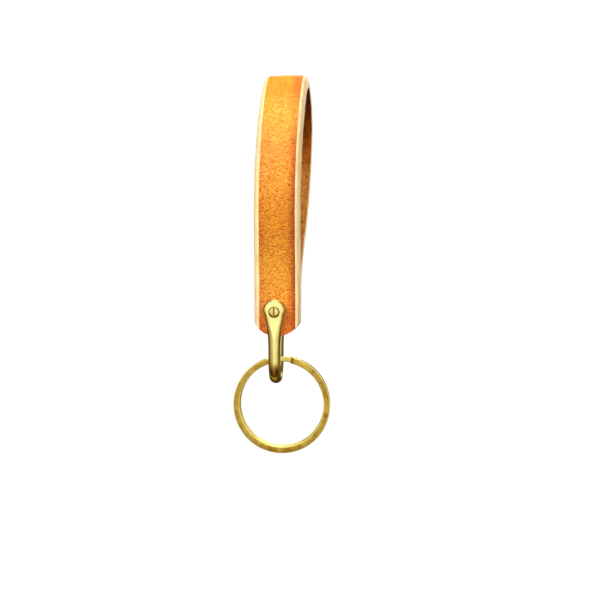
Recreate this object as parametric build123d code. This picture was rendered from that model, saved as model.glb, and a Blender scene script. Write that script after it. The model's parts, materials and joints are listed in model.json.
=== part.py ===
from build123d import *
import os
from math import cos, radians, sin

# Leather loop key fob: a folded strap, a brass shackle with its screw, and a split ring.
# Millimetres, +Z up, +X to the right of someone facing it, the front looks along -Y.
# Zero is the inner top of the loop, where a hook would carry it.

# strap section
strap_width = 15.3
strap_thick = 4.2
layer_gap = 0.1
bevel_width = 1.7
bevel_depth = 1.0
wall_taper = 0.25
flesh_round = 0.3
end_radius = 8.4
pin_hole = 3.2
pin_x = -0.55
pin_drop = 0.6

# loop, measured from the screw
loop_outer_height = 81.0
loop_top_y = 9.75
loop_back_y = 24.4
loop_back_z = 59.0
front_bulge = 0.9
front_bulge_z = 38.0
clamp_top = 4.0
twist_share = 0.09
twist_full_z = 16.0
drift = 1.2
drift_start_z = 35.0
loop_stations = 30

# shackle
eye_dia = 7.2
eye_thick = 3.0
eye_gap = 8.7
eye_round = 0.6
rod_wide = 3.8
rod_deep = 3.3
rod_round = 1.6
neck_top_wide = 6.3
neck_top_z = -1.5
neck_end_z = -13.5
neck_stations = 9
bend_z = -16.4
bend_radius = 6.0

# screw
head_dia = 3.6
head_seat_dia = 3.8
head_seat_deep = 0.6
head_thick = 1.25
head_round = 0.55
slot_wide = 0.7
slot_deep = 0.7
shank_dia = 3.0
front_bore = 3.1
thread_bore = 3.06
tip_chamfer = 0.3
seat_play = 0.05

# split ring
ring_outer = 31.75
wire_radial = 2.1
coil_thick = 1.6
coil_gap = 0.1
wire_round = 0.2
ring_x = 1.85
crossing_radial = 1.5
crossing_start = -18.0
crossing_end = 11.0
front_free_end = 12.5
back_free_end = -21.0
crossing_stations = 9
wire_z = -16.1

layer_mid = layer_gap / 2 + strap_thick / 2
eye_mid = eye_gap / 2 + eye_thick / 2


def smooth(value):
    share = min(1.0, max(0.0, value))
    return share * share * (3 - 2 * share)


def lean_at(y, z):
    """Sideways lie of the loop: square in the clamp, twisting with depth and drifting near the top."""
    twist = twist_share * (y + layer_mid) * smooth((z - clamp_top) / (twist_full_z - clamp_top))
    return twist + drift * smooth((z - drift_start_z) / (loop_outer_height - drift_start_z))


def loop_line():
    """Middle line of the strap above the clamp, from the front leg over the top to the back leg."""
    top_z = loop_outer_height - strap_thick / 2
    back_y = loop_back_y - strap_thick / 2
    places = [
        (-layer_mid, clamp_top),
        (-layer_mid - 0.7 * front_bulge, 0.5 * front_bulge_z),
        (-layer_mid - front_bulge, front_bulge_z),
        (-layer_mid + 0.6, loop_back_z - 1.0),
        (0.3 * loop_top_y, loop_back_z + 13.2),
        (loop_top_y, top_z),
        (back_y - 2.4, loop_back_z + 11.5),
        (back_y, loop_back_z),
        (layer_mid + 0.5 * back_y, 0.5 * loop_back_z),
        (layer_mid, clamp_top),
    ]
    points = [(lean_at(y, z), y, z) for y, z in places]
    return Spline(*points, tangents=[(0, 0, 1), (0, 0, -1)])


def strap_section(place):
    """Strap cut across: wide bevels beside the grain face, small cuts on the flesh side."""
    half = strap_width / 2
    outer = strap_thick / 2
    corners = [
        (-half + bevel_width, outer),
        (half - bevel_width, outer),
        (half - wall_taper, outer - bevel_depth),
        (half, outer - 2 * bevel_depth),
        (half, flesh_round - outer),
        (half - flesh_round, -outer),
        (flesh_round - half, -outer),
        (-half, flesh_round - outer),
        (-half, outer - 2 * bevel_depth),
        (wall_taper - half, outer - bevel_depth),
    ]
    return place * make_face(Polyline(*corners, close=True))


def make_strap():
    line = loop_line()
    sections = []
    for station in range(loop_stations + 1):
        share = station / loop_stations
        place = Plane(origin=line @ share, x_dir=(-1, 0, 0), z_dir=line % share)
        sections.append(strap_section(place))
    loop = loft(sections)
    leg_length = clamp_top + end_radius + 1
    front_leg = extrude(sections[0], amount=leg_length, dir=(0, 0, -1))
    back_leg = extrude(sections[-1], amount=leg_length, dir=(0, 0, -1))
    strap = loop + front_leg + back_leg
    end_shape = Cylinder(end_radius, 40, rotation=(90, 0, 0))
    end_shape += Pos(0, 0, 60) * Box(60, 90, 120)
    strap &= end_shape
    strap -= Pos(pin_x, 0, -pin_drop) * Cylinder(pin_hole / 2, 12, rotation=(90, 0, 0))
    return strap


def rod_section(place, wide, deep, corner):
    return place * RectangleRounded(wide, deep, corner)


def neck_shape(z):
    """Half-width of the limb below the eye: narrows at once, then settles slowly into the rod."""
    share = (neck_top_z - z) / (neck_top_z - neck_end_z)
    hold = (1 - share) ** 2.3
    return (rod_wide + (neck_top_wide - rod_wide) * hold) / 2


def make_neck(side):
    sections = []
    for station in range(neck_stations):
        share = station / (neck_stations - 1)
        z = neck_top_z + share * (neck_end_z - neck_top_z)
        middle = eye_mid + smooth(share) * (bend_radius - eye_mid)
        deep = eye_thick + smooth(share) * (rod_deep - eye_thick)
        corner = eye_round + smooth(share) * (rod_round - eye_round)
        place = Plane(origin=(0, side * middle, z), x_dir=(1, 0, 0), z_dir=(0, 0, -1))
        sections.append(rod_section(place, 2 * neck_shape(z), deep, corner))
    return loft(sections)


def make_shackle():
    below = Plane(origin=(0, 0, neck_end_z), x_dir=(1, 0, 0), z_dir=(0, 0, -1))
    down = Line((0, -bend_radius, neck_end_z), (0, -bend_radius, bend_z))
    around = ThreePointArc(
        (0, -bend_radius, bend_z), (0, 0, bend_z - bend_radius), (0, bend_radius, bend_z)
    )
    up = Line((0, bend_radius, bend_z), (0, bend_radius, neck_end_z))
    rod_start = Pos(0, -bend_radius, 0) * below
    rod = sweep(rod_section(rod_start, rod_wide, rod_deep, rod_round), path=Wire([down, around, up]))
    shackle = rod
    for side in (-1, 1):
        eye = Cylinder(eye_dia / 2, eye_thick, rotation=(90, 0, 0))
        eye = fillet(eye.edges().filter_by(GeomType.CIRCLE), eye_round)
        shackle += Pos(0, side * eye_mid, 0) * eye + make_neck(side)
    outer_face = eye_gap / 2 + eye_thick
    shackle -= Pos(0, -eye_mid, -pin_drop) * Cylinder(front_bore / 2, 2 * eye_thick, rotation=(90, 0, 0))
    shackle -= Pos(0, eye_mid, -pin_drop) * Cylinder(thread_bore / 2, 2 * eye_thick, rotation=(90, 0, 0))
    seat_middle = -outer_face + head_seat_deep / 2
    seat = Cylinder(head_seat_dia / 2, head_seat_deep, rotation=(90, 0, 0))
    shackle -= Pos(0, seat_middle, -pin_drop) * seat
    return shackle


def make_screw():
    outer_face = eye_gap / 2 + eye_thick
    head_back = -outer_face + head_seat_deep - seat_play
    head = Cylinder(head_dia / 2, head_thick, rotation=(90, 0, 0))
    head = fillet(head.edges().filter_by(GeomType.CIRCLE).sort_by(Axis.Y)[0], head_round)
    head = Pos(0, head_back - head_thick / 2, 0) * head
    slot_middle = head_back - head_thick + slot_deep / 2
    head -= Pos(0, slot_middle, 0) * Box(slot_wide, slot_deep, 2 * head_dia)
    length = outer_face - head_back
    shank = Cylinder(shank_dia / 2, length, rotation=(90, 0, 0))
    shank = chamfer(shank.edges().filter_by(GeomType.CIRCLE).sort_by(Axis.Y)[-1], tip_chamfer)
    return head + Pos(0, (outer_face + head_back) / 2, 0) * shank


def wire_place(angle, depth, radial):
    """Plane across the wire at a clockwise angle from the top, its X pointing away from the centre."""
    turn = radians(angle)
    outward = (sin(turn), 0, cos(turn))
    along = (cos(turn), 0, -sin(turn))
    reach = ring_outer / 2 - radial / 2
    return Plane(origin=(reach * outward[0], depth, reach * outward[2]), x_dir=outward, z_dir=along)


def make_coil(start, finish, depth):
    """One turn of flat wire, clockwise seen from the front."""
    section = wire_place(start, depth, wire_radial)
    section = section * RectangleRounded(wire_radial, coil_thick, wire_round)
    return revolve(section, Axis((0, 0, 0), (0, 1, 0)), finish - start)


def make_ring():
    layer = coil_gap / 2 + coil_thick / 2
    front = make_coil(front_free_end, 360 + crossing_start, -layer)
    back = make_coil(crossing_end, 360 + back_free_end, layer)
    sections = []
    for station in range(crossing_stations):
        share = station / (crossing_stations - 1)
        angle = crossing_start + share * (crossing_end - crossing_start)
        depth = layer * (2 * smooth(share) - 1)
        place = wire_place(angle, depth, crossing_radial)
        sections.append(place * RectangleRounded(crossing_radial, coil_thick, wire_round))
    crossing = loft(sections)
    ring = front + crossing + back
    centre_z = wire_z - ring_outer / 2 + wire_radial / 2
    return Pos(ring_x, 0, centre_z) * ring


pin_place = Pos(pin_x, 0, 0)
pieces = {
    "leather_strap": make_strap(),
    "shackle": pin_place * make_shackle(),
    "shackle_screw": pin_place * Pos(0, 0, -pin_drop) * make_screw(),
    "split_ring": pin_place * make_ring(),
}

top_lean = lean_at(loop_top_y, loop_outer_height - strap_thick / 2)
row_place = Pos(-top_lean, -loop_top_y, strap_thick - loop_outer_height)
os.makedirs("parts", exist_ok=True)
for name, piece in pieces.items():
    export_step(row_place * piece, f"parts/{name}.step")
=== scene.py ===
import json
from math import cos, exp, pi, radians, sin, sqrt

import bmesh
import bpy
import numpy as np
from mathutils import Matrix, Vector, noise

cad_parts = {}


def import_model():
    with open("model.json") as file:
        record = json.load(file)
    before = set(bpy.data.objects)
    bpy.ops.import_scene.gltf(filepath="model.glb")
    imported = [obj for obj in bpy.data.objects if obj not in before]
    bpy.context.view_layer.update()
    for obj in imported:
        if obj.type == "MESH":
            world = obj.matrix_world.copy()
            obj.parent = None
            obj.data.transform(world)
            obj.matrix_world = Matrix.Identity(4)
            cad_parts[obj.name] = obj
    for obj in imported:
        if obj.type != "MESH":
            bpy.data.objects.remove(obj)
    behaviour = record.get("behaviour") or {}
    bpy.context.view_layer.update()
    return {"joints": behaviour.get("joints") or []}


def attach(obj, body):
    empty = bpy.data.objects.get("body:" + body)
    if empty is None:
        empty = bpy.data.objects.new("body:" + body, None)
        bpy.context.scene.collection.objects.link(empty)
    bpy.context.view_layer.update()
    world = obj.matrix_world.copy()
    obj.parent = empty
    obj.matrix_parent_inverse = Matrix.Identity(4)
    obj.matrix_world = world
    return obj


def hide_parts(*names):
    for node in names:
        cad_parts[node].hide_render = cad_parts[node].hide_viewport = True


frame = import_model()

# Looks of a leather loop key fob: strap, brass shackle, slotted screw and split ring.
# Lengths in the making code are millimetres from the middle of the clamped strap ends, and
# world() turns them into the frame's metres. X is across the strap, -Y the front, Z up.
MM = 0.001
PIN_X = -0.55
PIN_Z = -0.6
joints = {joint["name"]: joint for joint in frame["joints"]}
CLAMP = Vector(joints["shackle_swing"]["pos_m"]) - Vector((PIN_X * MM, 0, PIN_Z * MM))


def world(x, y, z):
    return CLAMP + Vector((x, y, z)) * MM


# ---------------------------------------------------------------- mesh helpers

def new_mesh(name, verts, faces, materials, zones=None):
    """A smooth-shaded object; zones holds each face's place in the list of materials."""
    mesh = bpy.data.meshes.new(name)
    mesh.from_pydata([tuple(v) for v in verts], [], faces)
    for material in materials:
        mesh.materials.append(material)
    if zones is not None:
        mesh.polygons.foreach_set("material_index", zones)
    mesh.polygons.foreach_set("use_smooth", [True] * len(mesh.polygons))
    mesh.update()
    made = bpy.data.objects.new(name, mesh)
    bpy.context.scene.collection.objects.link(made)
    return made


def skin_faces(sections, count, turned=False):
    """Quads between neighbouring closed sections of count corners; turned gives the other winding."""
    faces = []
    for start in range(0, (sections - 1) * count, count):
        for corner in range(count):
            near = start + corner
            near_next = start + (corner + 1) % count
            far = near + count
            far_next = near_next + count
            quad = (near, near_next, far_next, far) if turned else (near, far, far_next, near_next)
            faces.append(quad)
    return faces


def cap_faces(total, count, turned=False):
    """The two end faces of such a skin of total corners."""
    first = tuple(range(count))
    last = tuple(range(total - count, total))
    return [first[::-1], last] if turned else [first, last[::-1]]


def settle(piece, work=None):
    """Lets work change the piece's mesh, then turns every face outward."""
    fix = bmesh.new()
    fix.from_mesh(piece.data)
    if work is not None:
        work(fix)
    bmesh.ops.recalc_face_normals(fix, faces=fix.faces)
    fix.to_mesh(piece.data)
    fix.free()


def cap_list(fix):
    return [face for face in fix.faces if len(face.verts) > 4]


def split_caps(fix):
    bmesh.ops.triangulate(fix, faces=cap_list(fix))


def sharpen_caps(fix):
    for face in cap_list(fix):
        for edge in face.edges:
            edge.smooth = False


def join_close_corners(fix):
    bmesh.ops.remove_doubles(fix, verts=fix.verts, dist=0.002 * MM)


def bore(piece, radius, y_from, y_to):
    """Cuts a round hole along Y at the pin."""
    bpy.ops.mesh.primitive_cylinder_add(vertices=64, radius=radius * MM, depth=(y_to - y_from) * MM)
    cutter = bpy.context.object
    cutter.location = world(PIN_X, (y_from + y_to) / 2, PIN_Z)
    cutter.rotation_euler = (radians(90), 0, 0)
    carve(piece, cutter)


def carve(piece, cutter):
    """Takes the cutter's shape out of the piece, and marks its edges over 38 degrees as sharp."""
    bpy.context.view_layer.update()
    cut = piece.modifiers.new("hole", "BOOLEAN")
    cut.operation = "DIFFERENCE"
    cut.object = cutter
    cut.solver = "EXACT"
    depsgraph = bpy.context.evaluated_depsgraph_get()
    done = bpy.data.meshes.new_from_object(piece.evaluated_get(depsgraph))
    piece.modifiers.clear()
    piece.data = done
    piece.data.set_sharp_from_angle(angle=radians(38))
    bpy.data.objects.remove(cutter)


def ease(value):
    """0 to 1 with a soft start and end."""
    share = min(1.0, max(0.0, value))
    return share * share * (3 - 2 * share)


def ripple(x, y, z, seed):
    """Smooth noise about zero."""
    return noise.noise(Vector((x, y, z + 17.3 * seed)))


# ---------------------------------------------------------------- shader helpers

def srgb(code):
    """Linear colour of a six-digit screen colour."""
    parts = [int(code[i:i + 2], 16) / 255 for i in (0, 2, 4)]
    return tuple(p / 12.92 if p <= 0.04045 else ((p + 0.055) / 1.055) ** 2.4 for p in parts)


def full_colour(colour):
    """Colour with alpha, from a grey value, a screen colour code or a linear colour."""
    if isinstance(colour, (int, float)):
        colour = (colour, colour, colour)
    elif isinstance(colour, str):
        colour = srgb(colour)
    return (*colour, 1)


class Nodes:
    """Adds and joins the nodes of a material or a world."""

    def __init__(self, owner):
        owner.use_nodes = True
        self.tree = owner.node_tree
        self.tree.nodes.clear()

    def add(self, kind, **settings):
        node = self.tree.nodes.new(kind)
        for key, value in settings.items():
            setattr(node, key, value)
        return node

    def link(self, source, target):
        self.tree.links.new(source, target)

    def feed(self, value, socket):
        """Joins an output to the socket, or sets the socket's own value."""
        if isinstance(value, bpy.types.NodeSocket):
            self.link(value, socket)
        elif isinstance(value, str):
            socket.default_value = full_colour(value)
        else:
            socket.default_value = value

    def ramp(self, source, *stops):
        node = self.add("ShaderNodeValToRGB")
        bar = node.color_ramp
        while len(bar.elements) < len(stops):
            bar.elements.new(0.5)
        for element, (place, colour) in zip(bar.elements, stops):
            element.position = place
            element.color = full_colour(colour)
        self.link(source, node.inputs[0])
        return node.outputs[0]

    def mix(self, share, first, second, blend="MIX"):
        node = self.add("ShaderNodeMix", data_type="RGBA", blend_type=blend)
        for value, place in ((share, 0), (first, 6), (second, 7)):
            self.feed(value, node.inputs[place])
        return node.outputs[2]

    def maths(self, kind, first, second, third=0.0):
        node = self.add("ShaderNodeMath", operation=kind)
        for value, socket in zip((first, second, third), node.inputs):
            self.feed(value, socket)
        return node.outputs[0]


class Shader(Nodes):
    """A principled material whose patterns are fixed to the object."""

    def __init__(self, name):
        self.material = bpy.data.materials.new(name)
        super().__init__(self.material)
        out = self.add("ShaderNodeOutputMaterial")
        self.skin = self.add("ShaderNodeBsdfPrincipled")
        self.link(self.skin.outputs[0], out.inputs[0])
        self.coord = self.add("ShaderNodeTexCoord").outputs["Object"]

    def stretched(self, stretch):
        node = self.add("ShaderNodeMapping")
        node.inputs["Scale"].default_value = stretch
        self.link(self.coord, node.inputs["Vector"])
        return node.outputs[0]

    def noise(self, scale, stretch=(1, 1, 1), detail=4.0, rough=0.55, distort=0.0):
        node = self.add("ShaderNodeTexNoise")
        node.inputs["Scale"].default_value = scale
        node.inputs["Detail"].default_value = detail
        node.inputs["Roughness"].default_value = rough
        node.inputs["Distortion"].default_value = distort
        self.link(self.stretched(stretch), node.inputs["Vector"])
        return node.outputs[0]

    def cells(self, scale, stretch):
        node = self.add("ShaderNodeTexVoronoi", feature="F1")
        node.inputs["Scale"].default_value = scale
        self.link(self.stretched(stretch), node.inputs["Vector"])
        return node.outputs["Distance"]

    def bump(self, source, strength, distance):
        node = self.add("ShaderNodeBump")
        node.inputs["Strength"].default_value = strength
        node.inputs["Distance"].default_value = distance
        self.link(source, node.inputs["Height"])
        return node.outputs[0]

    def distance(self, x, y, z):
        """Distance in millimetres from a place."""
        node = self.add("ShaderNodeVectorMath", operation="DISTANCE")
        self.link(self.coord, node.inputs[0])
        node.inputs[1].default_value = world(x, y, z)
        return self.maths("MULTIPLY", node.outputs["Value"], 1 / MM)

    def along(self, axis, start, end):
        """0 to 1 between two places on an axis."""
        split = self.add("ShaderNodeSeparateXYZ")
        self.link(self.coord, split.inputs[0])
        origin = CLAMP["XYZ".index(axis)] / MM + start
        length = end - start
        return self.maths("MULTIPLY_ADD", split.outputs[axis], 1 / (length * MM), -origin / length)

    def finish(self, colour, rough, normal, **sockets):
        self.link(colour, self.skin.inputs["Base Color"])
        self.link(rough, self.skin.inputs["Roughness"])
        self.link(normal, self.skin.inputs["Normal"])
        for key, value in sockets.items():
            self.skin.inputs[key.replace("_", " ")].default_value = value
        return self.material


# ---------------------------------------------------------------- camera and light

CAMERA_PLACE = (18.55, -184.2, 3.3)
CAMERA_TURN = 3.5
CAMERA_LENS = 33.66

BOWL_RADIUS = 1500
BOWL_FLOOR = -260
BOWL_HALF_HEIGHT = 1000


def make_camera():
    data = bpy.data.cameras.new("camera")
    data.sensor_width = 36
    data.lens = CAMERA_LENS
    data.clip_start = 0.01
    camera = bpy.data.objects.new("camera", data)
    camera.location = world(*CAMERA_PLACE)
    camera.rotation_euler = (radians(90), 0, radians(CAMERA_TURN))
    bpy.context.scene.collection.objects.link(camera)
    bpy.context.scene.camera = camera


def make_light(name, place, target, size, power, tint=(1, 1, 1), mirrored=True):
    """A soft box that the camera doesn't see, its size in metres; mirrored lets the brass show it."""
    data = bpy.data.lights.new(name, "AREA")
    data.shape = "RECTANGLE"
    data.size = size[0]
    data.size_y = size[1]
    data.energy = power
    data.color = tint
    light = bpy.data.objects.new(name, data)
    light.location = world(*place)
    aim = world(*target) - light.location
    light.rotation_euler = aim.to_track_quat("-Z", "Y").to_euler()
    light.visible_camera = False
    light.visible_glossy = mirrored
    bpy.context.scene.collection.objects.link(light)


def make_lights():
    make_light("key_light", (-230, -360, 300), (0, 0, 20), (0.2, 0.2), 2.15, (1.0, 0.98, 0.94), False)
    make_light("fill_light", (330, -260, 120), (0, 0, 10), (0.30, 0.40), 0.78, (1.0, 0.97, 0.92), False)
    make_light("front_light", (-60, -520, 40), (0, 0, 0), (0.22, 0.5), 0.12, (1.0, 0.98, 0.95))
    make_light("top_light", (20, -30, 420), (0, 0, 30), (0.3, 0.3), 0.5)
    make_light("back_light", (60, 380, 330), (0, 0, 20), (0.25, 0.25), 1.6)


def make_surroundings():
    """What the brass mirrors: a white room with dark sides, over a brown ground.

    Just below the horizon it is warm on the left and dark behind, and lower down it has stripes.
    """
    studio = bpy.data.worlds.new("studio")
    bpy.context.scene.world = studio
    s = Nodes(studio)
    out = s.add("ShaderNodeOutputWorld")
    back = s.add("ShaderNodeBackground")
    split = s.add("ShaderNodeSeparateXYZ")
    s.link(s.add("ShaderNodeTexCoord").outputs["Generated"], split.inputs[0])
    x, y, z = (s.maths("MULTIPLY_ADD", part, 0.5, 0.5) for part in split.outputs)

    height = s.ramp(
        z, (0.0, (0.26, 0.15, 0.05)), (0.10, (0.36, 0.23, 0.09)), (0.26, (0.70, 0.52, 0.26)),
        (0.44, (0.98, 0.96, 0.9)), (1.0, (1, 1, 1)),
    )
    depth = s.ramp(
        y, (0.0, (1, 1, 1)), (0.10, (1, 1, 1)), (0.28, (0.62, 0.57, 0.48)), (0.46, (0.16, 0.10, 0.05)),
        (0.86, (0.10, 0.07, 0.04)), (0.94, (0.9, 0.88, 0.8)), (1.0, (1, 1, 1)),
    )
    depth_below = s.ramp(
        y, (0.0, (1, 1, 1)), (0.28, (0.8, 0.74, 0.62)), (0.5, (0.55, 0.46, 0.32)),
        (0.85, (0.30, 0.22, 0.13)), (0.93, (0.40, 0.33, 0.20)), (1.0, (0.1, 0.07, 0.04)),
    )
    stripes = s.ramp(
        x, (0.28, (0.14, 0.08, 0.04)), (0.36, (1, 1, 1)), (0.43, (1, 1, 1)), (0.49, (0.34, 0.22, 0.10)),
        (0.55, (0.40, 0.28, 0.14)), (0.60, (0.9, 0.85, 0.7)), (0.68, (0.14, 0.08, 0.04)),
    )
    sides = s.ramp(
        x, (0.02, (0.75, 0.64, 0.40)), (0.10, (0.50, 0.38, 0.20)), (0.30, (0.42, 0.30, 0.15)),
        (0.39, (0.9, 0.84, 0.7)), (0.44, (1, 1, 1)), (0.95, (1, 1, 1)), (1.0, (0.6, 0.5, 0.3)),
    )
    rim = s.ramp(y, (0.86, (1, 1, 1)), (0.95, (0.16, 0.11, 0.06)))

    well_below = s.ramp(z, (0.20, 1), (0.42, 0))
    just_below = s.ramp(z, (0.44, 1), (0.50, 0))
    striped = s.mix(well_below, height, s.mix(1.0, stripes, height, "MULTIPLY"))
    level = s.mix(just_below, depth, s.mix(1.0, sides, rim, "MULTIPLY"), "MULTIPLY")
    colour = s.mix(1.0, striped, s.mix(well_below, level, depth_below), "MULTIPLY")
    s.link(colour, back.inputs["Color"])
    back.inputs["Strength"].default_value = 1.0
    s.link(back.outputs[0], out.inputs[0])


def make_backdrop():
    """A pale floor that curves up all round into a plain backdrop, seen by the camera only."""
    white = bpy.data.materials.new("studio_white")
    s = Nodes(white)
    out = s.add("ShaderNodeOutputMaterial")
    glow = s.add("ShaderNodeEmission")
    glow.inputs["Color"].default_value = (1, 1, 1, 1)
    glow.inputs["Strength"].default_value = 1.05
    s.link(glow.outputs[0], out.inputs[0])

    levels = 25
    corners = 48
    verts = []
    for level in range(levels):
        turn = level / (levels - 1) * pi
        radius = BOWL_RADIUS * sin(turn) if 0 < level < levels - 1 else 0.01
        height = BOWL_FLOOR + BOWL_HALF_HEIGHT * (1 - cos(turn))
        for corner in range(corners):
            angle = 2 * pi * corner / corners
            verts.append(world(radius * cos(angle), radius * sin(angle), height))
    floor = new_mesh("floor", verts, skin_faces(levels, corners), [white])
    for side in ("visible_diffuse", "visible_glossy", "visible_transmission", "visible_shadow"):
        setattr(floor, side, False)


# ---------------------------------------------------------------- leather materials

FACE_SPAN = (-5.4, 7.4)
STRAP_SPAN = (-15, 85)
LOOP_SPAN = (-10, 80)
SCAR = (-4.5, -4.25, -4.8)


def grain_material():
    """Dyed grain side: orange tan with fine creases across the strap, small pores and a scar, with painted
    highlight and shade in its colour.
    """
    s = Shader("leather_grain")
    cloud = s.noise(90, (1, 1, 0.6), 3, 0.5)
    base = s.ramp(cloud, (0.3, "e08418"), (0.5, "f29a24"), (0.72, "ffb034"))
    across = s.along("X", *FACE_SPAN)
    height_up = s.along("Z", *STRAP_SPAN)

    # Strength of the grain marks by height: weaker high on the loop, a painted glare over the highlight
    # band.
    glare_faded_contrast = s.ramp(height_up, (0.22, 0.85), (0.34, 1.0), (0.60, 1.0), (0.72, 0.75), (0.9, 0.45))
    crease = s.noise(1800, (0.5, 0.5, 1.15), 2, 0.5, 0.3)
    dark = s.ramp(crease, (0.34, 1.0), (0.60, 0.0))
    dark = s.maths("MULTIPLY", dark, s.maths("MULTIPLY", glare_faded_contrast, 0.8))
    speck = s.noise(2300, (0.55, 0.55, 1.15), 2, 0.6)
    light = s.ramp(speck, (0.43, 0.0), (0.61, 1.0))
    light = s.maths("MULTIPLY", light, s.maths("MULTIPLY", glare_faded_contrast, 0.85))
    colour = s.mix(light, s.mix(dark, base, "aa540e"), "ffd064")

    # Up the strap: a pale painted highlight band high on the front of the loop, and darker, redder bands
    # lower down.
    tone_and_painted_light = s.ramp(
        height_up, (0.05, "e6b4a0"), (0.12, "e8bea8"), (0.2, "ece0c0"), (0.28, "e2d9aa"), (0.38, "cdb668"),
        (0.46, "d9c36c"), (0.56, "e9dab8"), (0.66, "f3dce4"), (0.74, "f9f2ff"),
        (0.80, "fcffff"), (0.84, "fff8e8"), (0.88, "ffdc60"),
    )
    colour = s.mix(1.0, colour, tone_and_painted_light, "MULTIPLY")
    # Across the face: a painted sheen, pale and bluish, on the left, and the right edge darker, partly
    # darker dye and partly painted shade; its strength changes with height.
    across_sheen_and_shade = s.ramp(
        across, (0.0, "ede1ff"), (0.18, "fbf6ff"), (0.35, "ffffff"), (0.66, "fff8f0"),
        (0.76, "ead2b0"), (0.86, "c48850"), (0.95, "a86832"),
    )
    across_sheen_and_shade_by_height = s.ramp(height_up, (0.52, 1.0), (0.70, 0.65), (0.78, 0.3), (0.84, 0.35), (0.89, 0.5))
    colour = s.mix(across_sheen_and_shade_by_height, colour, across_sheen_and_shade, "MULTIPLY")
    scar = s.ramp(s.distance(*SCAR), (0.2, 0.0), (0.42, 0.7), (0.6, 0.7), (0.85, 0.0))
    colour = s.mix(scar, colour, "8a3c10")

    pores = s.cells(1300, (1, 1, 1.3))
    normal = s.bump(s.mix(0.45, crease, pores), 0.6, 0.12 * MM)
    rough = s.ramp(crease, (0.3, 0.58), (0.7, 0.42))
    return s.finish(colour, rough, normal, Specular_IOR_Level=0.3)


def edge_material():
    """Bevel: pale cream, waxed, with faint fibres running along the strap."""
    s = Shader("leather_edge")
    fibre = s.noise(700, (1, 1, 0.25), 4, 0.6)
    colour = s.ramp(fibre, (0.3, "dcbc88"), (0.52, "ead4a2"), (0.75, "f4e6b6"))
    normal = s.bump(fibre, 0.35, 0.1 * MM)
    rough = s.ramp(fibre, (0.3, 0.7), (0.7, 0.5))
    return s.finish(colour, rough, normal, Subsurface_Weight=0.08, Subsurface_Scale=0.001)


def wall_material():
    """Raw cut edge: pale and fibrous, a little lighter on the right from painted light."""
    s = Shader("leather_cut_wall")
    fibre = s.noise(800, (1, 1, 0.35), 4, 0.65)
    colour = s.ramp(fibre, (0.3, "ecc490"), (0.52, "ffe8bc"), (0.75, "fff6d6"))
    # Painted light: the right-hand wall, which the lamps reach less, is made lighter than the left.
    side = s.ramp(s.along("X", *FACE_SPAN), (0.3, "f2e7da"), (0.8, "ffffff"))
    colour = s.mix(1.0, colour, side, "MULTIPLY")
    normal = s.bump(fibre, 0.5, 0.12 * MM)
    rough = s.ramp(fibre, (0.3, 0.8), (0.7, 0.6))
    return s.finish(colour, rough, normal)


def flesh_material():
    """Flesh side inside the loop: brown, matt and fibrous, darker up in the bend from painted shade and
    burnish.
    """
    s = Shader("leather_flesh")
    fibre = s.noise(700, (1, 1, 0.55), 5, 0.7, 1.2)
    colour = s.ramp(fibre, (0.36, "966c38"), (0.5, "d69d59"), (0.64, "f3bc73"))
    # Darker towards the top inside the loop: painted shade deep in the bend, with some burnish.
    tone_and_painted_light = s.ramp(
        s.along("Z", *LOOP_SPAN), (0.3, "e6ccac"), (0.455, "f2d8b1"), (0.61, "ebd1a4"),
        (0.76, "c38b28"), (0.95, "78400f"),
    )
    colour = s.mix(1.0, colour, tone_and_painted_light, "MULTIPLY")
    normal = s.bump(fibre, 0.9, 0.3 * MM)
    rough = s.ramp(fibre, (0.3, 0.95), (0.7, 0.8))
    return s.finish(colour, rough, normal, Specular_IOR_Level=0.2)


def end_material():
    """Cut across the rounded ends: dark and matt."""
    s = Shader("leather_end_cut")
    fibre = s.noise(600, (1, 1, 1), 4, 0.6)
    colour = s.ramp(fibre, (0.3, "4a2207"), (0.7, "9a5a24"))
    normal = s.bump(fibre, 0.5, 0.12 * MM)
    rough = s.ramp(fibre, (0.3, 0.8), (0.7, 0.6))
    return s.finish(colour, rough, normal)


# ---------------------------------------------------------------- leather strap

STRAP_WIDTH = 15.3
THICK = 4.2
LAYER_MID = 0.05 + THICK / 2
END_RADIUS = 8.4
CLAMP_TOP = 4.0
STRAP_HOLE = 1.6

LOOP_TOP = 81.0
TOP_Y = 9.75
BACK_Y = 24.4
BACK_Z = 59.0
BULGE = 0.9
BULGE_Z = 38.0
LOOP_STEPS = 560

# The bevels are not alike: the left one is the wider. SKIN_HALF is the half-width before the relief.
SKIN_HALF = STRAP_WIDTH / 2 - 0.02
BEVEL_LEFT = 1.96
BEVEL_RIGHT = 1.6
FACE_LEFT = BEVEL_LEFT - SKIN_HALF
FACE_RIGHT = SKIN_HALF - BEVEL_RIGHT
FACE_CROWN = 0.06
FACE_FALL = 0.20
FLESH_HALF = 7.05
CREASE_HALF = 5.85
CREASE_FADE = 1.2

STRAP_ZONES = ("grain", "edge", "wall", "flesh", "end")


def lean_at(y, z):
    """Sideways place of the loop's middle line: it twists above the clamp and leans to the right."""
    twist = 0.09 * (y + LAYER_MID) * ease((z - CLAMP_TOP) / 12)
    return twist + 1.2 * ease((z - 35) / (LOOP_TOP - 35))


def loop_points():
    """Middle line of the strap above the clamp, by the same shape rules as the CAD solid."""
    back = BACK_Y - THICK / 2
    top = LOOP_TOP - THICK / 2
    places = [
        (-LAYER_MID, CLAMP_TOP),
        (-LAYER_MID - 0.7 * BULGE, 0.5 * BULGE_Z),
        (-LAYER_MID - BULGE, BULGE_Z),
        (-LAYER_MID + 0.6, BACK_Z - 1.0),
        (0.3 * TOP_Y, BACK_Z + 13.2),
        (TOP_Y, top),
        (back - 2.4, BACK_Z + 11.5),
        (back, BACK_Z),
        (LAYER_MID + 0.5 * back, 0.5 * BACK_Z),
        (LAYER_MID, CLAMP_TOP),
    ]
    return np.array([(lean_at(y, z), y, z) for y, z in places])


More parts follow.
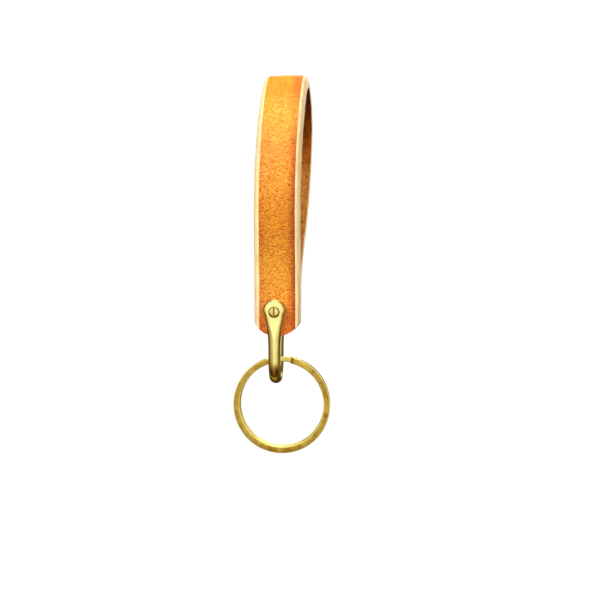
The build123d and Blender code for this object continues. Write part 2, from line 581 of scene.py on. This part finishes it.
def smooth_line(knots, steps):
    """Cubic spline through the knots, straight up at its start and straight down at its end."""
    gaps = np.linalg.norm(np.diff(knots, axis=0), axis=1)
    count = len(knots)
    matrix = np.zeros((count, count))
    right = np.zeros((count, 3))
    matrix[0, 0] = matrix[-1, -1] = 1
    right[0] = (0, 0, 1)
    right[-1] = (0, 0, -1)
    for i in range(1, count - 1):
        before = gaps[i - 1]
        after = gaps[i]
        matrix[i, i - 1] = after
        matrix[i, i] = 2 * (before + after)
        matrix[i, i + 1] = before
        slope_in = (knots[i] - knots[i - 1]) / before
        slope_out = (knots[i + 1] - knots[i]) / after
        right[i] = 3 * (after * slope_in + before * slope_out)
    slopes = np.linalg.solve(matrix, right)
    line = []
    for i in range(count - 1):
        pieces = max(2, round(steps * gaps[i] / gaps.sum()))
        for t in np.arange(pieces) / pieces:
            a = 2 * t**3 - 3 * t**2 + 1
            b = t**3 - 2 * t**2 + t
            c = -2 * t**3 + 3 * t**2
            d = t**3 - t**2
            line.append(
                a * knots[i] + b * gaps[i] * slopes[i] + c * knots[i + 1] + d * gaps[i] * slopes[i + 1]
            )
    line.append(knots[-1])
    return np.array(line)


def strap_profile():
    """Section of the strap as (across, outward, zone): grain face, right edge, flesh side, left edge."""
    edge = [
        (0.18, 1.86, "edge"), (0.40, 1.62, "edge"), (0.58, 1.3, "edge"),
        (0.77, 0.75, "wall"), (0.89, 0.1, "wall"), (0.963, -0.6, "wall"), (1.0, -1.3, "wall"),
        (0.95, -1.8, "wall"), (0.80, -2.04, "wall"),
    ]
    profile = []
    for t in np.linspace(0.0, 1.0, 31):
        x = FACE_LEFT + (FACE_RIGHT - FACE_LEFT) * t
        profile.append((x, THICK / 2 + FACE_CROWN - FACE_FALL * abs(2 * t - 1) ** 2.5, "grain"))
    profile += [(FACE_RIGHT + BEVEL_RIGHT * t, h, zone) for t, h, zone in edge]
    profile += [(x, -THICK / 2, "flesh") for x in np.linspace(FLESH_HALF, -FLESH_HALF, 25)]
    profile += [(FACE_LEFT - BEVEL_LEFT * t, h, zone) for t, h, zone in reversed(edge)]
    return profile


def skin_offset(x, h, zone, run):
    """Small real relief, outward and across: creases on the grain, fibres on the flesh and the edges."""
    if zone == "grain":
        fade = ease((CREASE_HALF - abs(x)) / CREASE_FADE)
        slow = 0.05 * ripple(x / 6, run / 9, 0, 1)
        crease = 0.035 * ripple(x / 3.5, run / 0.9, 0, 2) + 0.02 * ripple(x / 1.6, run / 0.5, 0, 3)
        return (slow + crease) * (0.3 + 0.7 * fade), 0.0
    if zone == "flesh":
        return 0.05 * ripple(x / 1.2, run / 1.5, 0, 4) + 0.05 * ripple(x / 4, run / 6, 0, 5), 0.0
    wave = 0.06 * ripple(x, run / 7, 0, 6) + 0.035 * ripple(x * 2, run / 1.2, h, 7)
    return 0.5 * wave, wave if x > 0 else -wave


def skin_zone(first, second):
    """Material of the strip between two corners of the section."""
    if {first, second} == {"edge", "wall"}:
        return STRAP_ZONES.index("edge")
    return max(STRAP_ZONES.index(first), STRAP_ZONES.index(second))


def strap_stations():
    """Where the sections stand, as (side, place, heading): up the front leg, round, down the back leg.

    On a leg, side is -1 at the front and 1 at the back, and place is the share of the way from the
    clamp's top to the rounded end. Round the loop, side is 0 and place is a point of the middle line.
    """
    leg = np.linspace(0, 1, 36)[1:]
    bend = smooth_line(loop_points(), LOOP_STEPS)
    stations = [(-1, share, None) for share in leg[::-1]]
    for index, spot in enumerate(bend):
        heading = bend[min(index + 1, len(bend) - 1)] - bend[max(index - 1, 0)]
        stations.append((0, spot, heading / np.linalg.norm(heading)))
    return stations + [(1, share, None) for share in leg]


def make_strap(materials):
    profile = strap_profile()
    stations = strap_stations()
    verts = []
    run = 0.0
    last = None
    for side, place, heading in stations:
        here = place
        if side:
            here = np.array((0, side * LAYER_MID, CLAMP_TOP - place * (CLAMP_TOP + END_RADIUS)))
        else:
            outward = np.cross(heading, (-1, 0, 0))
            outward /= np.linalg.norm(outward)
        if last is not None:
            run += np.linalg.norm(here - last)
        last = here
        for x, h, zone in profile:
            relief, shift = skin_offset(x, h, zone, run)
            if side:
                end_z = -sqrt(END_RADIUS**2 - min(STRAP_WIDTH / 2, abs(x)) ** 2)
                z = CLAMP_TOP + place * (end_z - CLAMP_TOP)
                spot = (x + shift, side * (LAYER_MID + h + relief), z)
            else:
                spot = here + np.array((x + shift, 0, 0)) + outward * (h + relief)
            verts.append(world(*spot))

    count = len(profile)
    corners = [zone for _, _, zone in profile]
    strip = [skin_zone(first, second) for first, second in zip(corners, corners[1:] + corners[:1])]
    faces = skin_faces(len(stations), count, turned=True) + cap_faces(len(verts), count, turned=True)
    zones = strip * (len(stations) - 1) + [STRAP_ZONES.index("end")] * 2
    strap = new_mesh("strap", verts, faces, materials, zones)
    strap.data.validate()
    settle(strap, split_caps)
    bore(strap, STRAP_HOLE, -6.0, 6.0)
    return strap


# ---------------------------------------------------------------- brass materials

def brass_material(name, tint, dull, rough_low, rough_high, stain=0.25, metal=1.0):
    """Polished brass with cloudy dull patches and fine scratches."""
    s = Shader(name)
    cloud = s.noise(320, (1, 1, 1), 5, 0.6, 0.4)
    patch = s.ramp(cloud, (0.40, 0.0), (0.66, 1.0))
    colour = s.mix(s.maths("MULTIPLY", patch, stain), tint, dull)
    scratch = s.noise(900, (1, 1, 0.12), 4, 0.65)
    rough = s.ramp(s.mix(0.5, cloud, scratch), (0.35, rough_low), (0.65, rough_high))
    normal = s.bump(scratch, 0.015, 0.05 * MM)
    return s.finish(colour, rough, normal, Metallic=metal)


def ring_material():
    """Worn flat face of the ring's wire."""
    s = Shader("ring_brass_face")
    cloud = s.noise(260, (1, 1, 1), 5, 0.65, 0.5)
    colour = s.ramp(cloud, (0.34, "a8842c"), (0.5, "c8a84e"), (0.68, "d4b85e"))
    rough = s.ramp(cloud, (0.35, 0.46), (0.65, 0.34))
    normal = s.bump(s.noise(1500, (1, 1, 1), 3, 0.6), 0.12, 0.05 * MM)
    return s.finish(colour, rough, normal, Metallic=1.0)


# ---------------------------------------------------------------- shackle

EYE_RADIUS = 3.6
EYE_HALF = 1.5
EYE_MID = 4.35 + EYE_HALF
EYE_ARC = pi / 2 + 0.43
EYE_SOFT = 1.1
ROD_HALF = 1.9
ROD_DEEP = 1.65
BEND_RADIUS = 6.0
BEND_Z = -16.4
NECK_TOP = -1.5
NECK_END = -13.5

SEAT_RADIUS = 1.9
SEAT_DEPTH = 0.6
FRONT_BORE = 1.55
THREAD_BORE = 1.53


def limb_half_width(z):
    """Half-width of a limb: round eye, neck that narrows smoothly off it, straight rod."""
    if z >= NECK_TOP:
        return sqrt(max(0.0, EYE_RADIUS**2 - z * z))
    start = sqrt(EYE_RADIUS**2 - NECK_TOP**2)
    below = NECK_TOP - z
    share = min(1.0, below / (NECK_TOP - NECK_END))
    return ROD_HALF + (start - ROD_HALF) * (1 - share) ** 2.3 - 0.19 * below * exp(-below / 0.8)


def limb_section(z):
    """Half of the outline round the limb at height z: across, and depth from its middle plane."""
    half = limb_half_width(z)
    share = ease((NECK_TOP - 1.0 - z) / 8.0)
    soft = EYE_SOFT + (ROD_DEEP - EYE_SOFT) * share
    deep = EYE_HALF + (ROD_DEEP - EYE_HALF) * share
    points = []
    for turn in np.linspace(0, pi, 41):
        x = half * cos(turn)
        if z >= NECK_TOP:
            inset = EYE_RADIUS - sqrt(x * x + z * z)
        else:
            inset = (half - abs(x)) * (0.91 + 0.09 * ease((NECK_TOP - z) / 4))
        inset += (inset * soft / half - inset) * share
        reach = min(1.0, max(0.0, inset) / soft)
        points.append((x, deep - soft + soft * sqrt(max(0.0, 1 - (1 - reach) ** 2))))
    return points


def limb_stations():
    """Sections down the front limb, round the bend and up the back limb: (shape's z, y, z, turn)."""
    heights = [EYE_RADIUS * cos(turn) for turn in np.linspace(0.02, EYE_ARC, 56)]
    heights += list(np.linspace(heights[-1], NECK_END, 34)[1:])
    heights += list(np.linspace(NECK_END, BEND_Z, 22)[1:])
    front = []
    for z in heights:
        middle = EYE_MID + ease((NECK_TOP - z) / (NECK_TOP - NECK_END)) * (BEND_RADIUS - EYE_MID)
        front.append((z, -middle, z, 0.0))
    bend = []
    for turn in np.linspace(0, pi, 61)[1:-1]:
        bend.append((BEND_Z, -BEND_RADIUS * cos(turn), BEND_Z - BEND_RADIUS * sin(turn), turn))
    return front + bend + [(z, -y, z, pi) for z, y, _, _ in reversed(front)]


def make_shackle(material):
    """Both limbs and the bend as one skin, with the head seat and the bores cut into it."""
    stations = limb_stations()
    verts = []
    for shape_z, y, z, turn in stations:
        half = limb_section(shape_z)
        outline = half + [(x, -depth) for x, depth in reversed(half[1:-1])]
        for x, depth in outline:
            verts.append(world(PIN_X + x, y - depth * cos(turn), z - depth * sin(turn)))
    count = len(outline)
    faces = skin_faces(len(stations), count) + cap_faces(len(verts), count)
    shackle = new_mesh("shackle_body", verts, faces, [material])
    settle(shackle, join_close_corners)
    outer = EYE_MID + EYE_HALF
    bore(shackle, SEAT_RADIUS, -outer - 2, -outer + SEAT_DEPTH)
    bore(shackle, FRONT_BORE, -outer - 2, -2.0)
    bore(shackle, THREAD_BORE, 2.0, outer + 2)
    return shackle


# ---------------------------------------------------------------- screw

SHANK = 1.5
TIP_Y = 7.35
THREAD_FROM = 3.4
THREAD_TO = 7.2
THREAD_PITCH = 0.5
THREAD_DEPTH = 0.11
FINE_FROM = 3.45
FINE_TO = 7.05
FINE_STEP = 0.05
SLOT_WIDTH = 0.62
SLOT_FLOOR = -7.45
SLOT_CUT = 2.1


def thread_depth(y, turn):
    """How deep the thread is cut at that place along and round the shank."""
    if not THREAD_FROM < y < THREAD_TO:
        return 0.0
    wave = 0.5 - 0.5 * cos(2 * pi * y / THREAD_PITCH - turn)
    return THREAD_DEPTH * wave * ease((y - THREAD_FROM) / 0.4)


def make_screw(materials):
    """Domed slotted head, plain shank, and a fine thread where it meets the back limb."""
    outline = [
        (0.0, -8.0), (0.6, -7.985), (1.0, -7.94), (1.3, -7.87), (1.5, -7.78), (1.65, -7.64),
        (1.75, -7.4), (1.79, -7.1), (1.79, -6.82), (1.6, -6.8), (SHANK, -6.8),
    ]
    outline += [(SHANK, y) for y in np.linspace(-6.6, THREAD_FROM, 12)]
    outline += [(SHANK, y) for y in np.arange(FINE_FROM, FINE_TO, FINE_STEP)]
    outline += [(1.46, 7.1), (1.3, 7.28), (1.2, TIP_Y), (0.0, TIP_Y)]
    count = 64
    verts = []
    for radius, y in outline:
        for corner in range(count):
            turn = 2 * pi * corner / count
            reach = max(radius, 0.002) - thread_depth(y, turn)
            verts.append(world(PIN_X + reach * sin(turn), y, PIN_Z + reach * cos(turn)))
    faces = skin_faces(len(outline), count, turned=True) + cap_faces(len(verts), count, turned=True)
    screw = new_mesh("screw", verts, faces, materials)
    settle(screw)

    bpy.ops.mesh.primitive_cube_add(size=MM)
    cutter = bpy.context.object
    cutter.location = world(PIN_X, SLOT_FLOOR - SLOT_CUT / 2, PIN_Z)
    cutter.scale = (SLOT_WIDTH, SLOT_CUT, 6.0)
    carve(screw, cutter)
    # Painted shade: the slot's floor takes the second, darker brass.
    for face in screw.data.polygons:
        spot = (face.center - CLAMP) / MM
        in_slot = abs(spot.x - PIN_X) < SLOT_WIDTH / 2 + 0.01 and abs(spot.y - SLOT_FLOOR) < 0.15
        if in_slot and abs(face.normal.y) > 0.9:
            face.material_index = 1
    return screw


# ---------------------------------------------------------------- split ring

RING_OUTER = 31.75
WIRE = 2.1
COIL = 1.6
WIRE_SOFT = 0.28
LAYER = 0.05 + COIL / 2
RING_X = PIN_X + 1.85
WIRE_Z = -16.1

# Angles in degrees clockwise from the top, seen from the front, counted on through both coils.
RING_START = 12.5
RING_END = 360 + 339
CROSS_FROM = 342
CROSS_TO = 371
CROSS_SLIM = 0.45
CROSS_DROP = 0.3

RING_FACE, RING_WORN_EDGE_AND_HIGHLIGHT, RING_TARNISH_AND_SHADE = range(3)


def ring_section(radial):
    """Rounded rectangle across the wire as (outward, depth), in runs of five points a corner:
    outer back, inner back, inner front, outer front."""
    half_r = radial / 2 - WIRE_SOFT
    half_d = COIL / 2 - WIRE_SOFT
    middles = ((half_r, half_d), (-half_r, half_d), (-half_r, -half_d), (half_r, -half_d))
    points = []
    for (out, back), first in zip(middles, (0, 90, 180, 270)):
        for step in range(5):
            turn = radians(first + step * 22.5)
            points.append((out + WIRE_SOFT * cos(turn), back + WIRE_SOFT * sin(turn)))
    return points


def ring_zone(angle, corner):
    """Worn face, bright edge, or dark brass: tarnish at the free end, painted shade down the outside of
    the back coil and on two arcs, and a painted highlight on the crossing's faces.
    """
    free_end = angle < 15 and 9 <= corner < 17
    # Painted shade down the outside of the back coil, and on an outer and an inner arc.
    back_coil = angle > CROSS_TO and (corner >= 15 or corner < 4)
    outer_arc = 22 < angle < 98 and corner >= 18
    inner_arc = 106 < angle < 150 and 8 <= corner < 11
    if free_end or back_coil or outer_arc or inner_arc:
        return RING_TARNISH_AND_SHADE
    # Across the crossing the faces take the bright edge brass too: a painted highlight where the wire
    # tilts.
    if corner in (4, 14) and not CROSS_FROM + 12 < angle < CROSS_TO:
        return RING_FACE
    return RING_WORN_EDGE_AND_HIGHLIGHT


def ring_angles():
    """Stations along the wire, closer together at the crossing."""
    angles = [RING_START]
    while angles[-1] < RING_END - 1e-6:
        pace = 0.5 if CROSS_FROM - 6 < angles[-1] < CROSS_TO + 6 else 1.5
        angles.append(min(RING_END, angles[-1] + pace))
    return angles


def make_ring(materials):
    """One flat wire wound almost twice round: front coil, crossing, back coil."""
    centre_z = WIRE_Z - RING_OUTER / 2 + WIRE / 2
    angles = ring_angles()
    verts = []
    for angle in angles:
        share = ease((angle - CROSS_FROM) / (CROSS_TO - CROSS_FROM))
        inside = ease((angle - CROSS_FROM + 3) / 4) * ease((CROSS_TO + 1.5 - angle) / 3)
        radial = WIRE - CROSS_SLIM * inside
        depth = LAYER * (2 * share - 1)
        reach = RING_OUTER / 2 - CROSS_DROP * inside - radial / 2
        reach += 0.03 * ripple(angle / 40, 0, 0, 9)
        turn = radians(angle)
        section = ring_section(radial)
        for out, back in section:
            distance = reach + out
            x = RING_X + distance * sin(turn)
            verts.append(world(x, depth + back, centre_z + distance * cos(turn)))
    count = len(section)
    faces = skin_faces(len(angles), count) + cap_faces(len(verts), count)
    zones = [ring_zone(angle, corner) for angle in angles[:-1] for corner in range(count)]
    zones += [RING_WORN_EDGE_AND_HIGHLIGHT] * 2
    ring = new_mesh("ring", verts, faces, materials, zones)
    settle(ring, sharpen_caps)
    return ring


# ---------------------------------------------------------------- build

make_camera()
make_lights()
make_surroundings()
make_backdrop()
bpy.context.scene.view_settings.view_transform = "Standard"

leather = [grain_material(), edge_material(), wall_material(), flesh_material(), end_material()]
strap = make_strap(leather)
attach(strap, "strap")
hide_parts("leather_strap")

shackle = make_shackle(brass_material("shackle_brass", "faec9a", "d4c076", 0.18, 0.30, 0.5))
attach(shackle, "shackle")
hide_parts("shackle")

screw_brass = brass_material("screw_brass", "f0de94", "c8a85c", 0.22, 0.34)
# The second brass is darker, painted shade for the slot's floor.
screw = make_screw([screw_brass, brass_material("screw_slot_painted_shade", "a8873e", "7c5e26", 0.35, 0.5)])
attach(screw, "screw")
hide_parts("shackle_screw")

# Bright brass: worn edges, and a painted highlight on the crossing's faces.
ring_edge_and_highlight = brass_material("ring_brass_edge_and_highlight", "f2e276", "d8c050", 0.28, 0.40, 0.12, 0.55)
# Dark brass: tarnish at the free end, painted shade on the back coil and two arcs.
ring_tarnish_and_shade = brass_material("ring_brass_tarnish_and_shade", "8a7430", "5c4a18", 0.32, 0.46)
ring = make_ring([ring_material(), ring_edge_and_highlight, ring_tarnish_and_shade])
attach(ring, "ring")
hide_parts("split_ring")
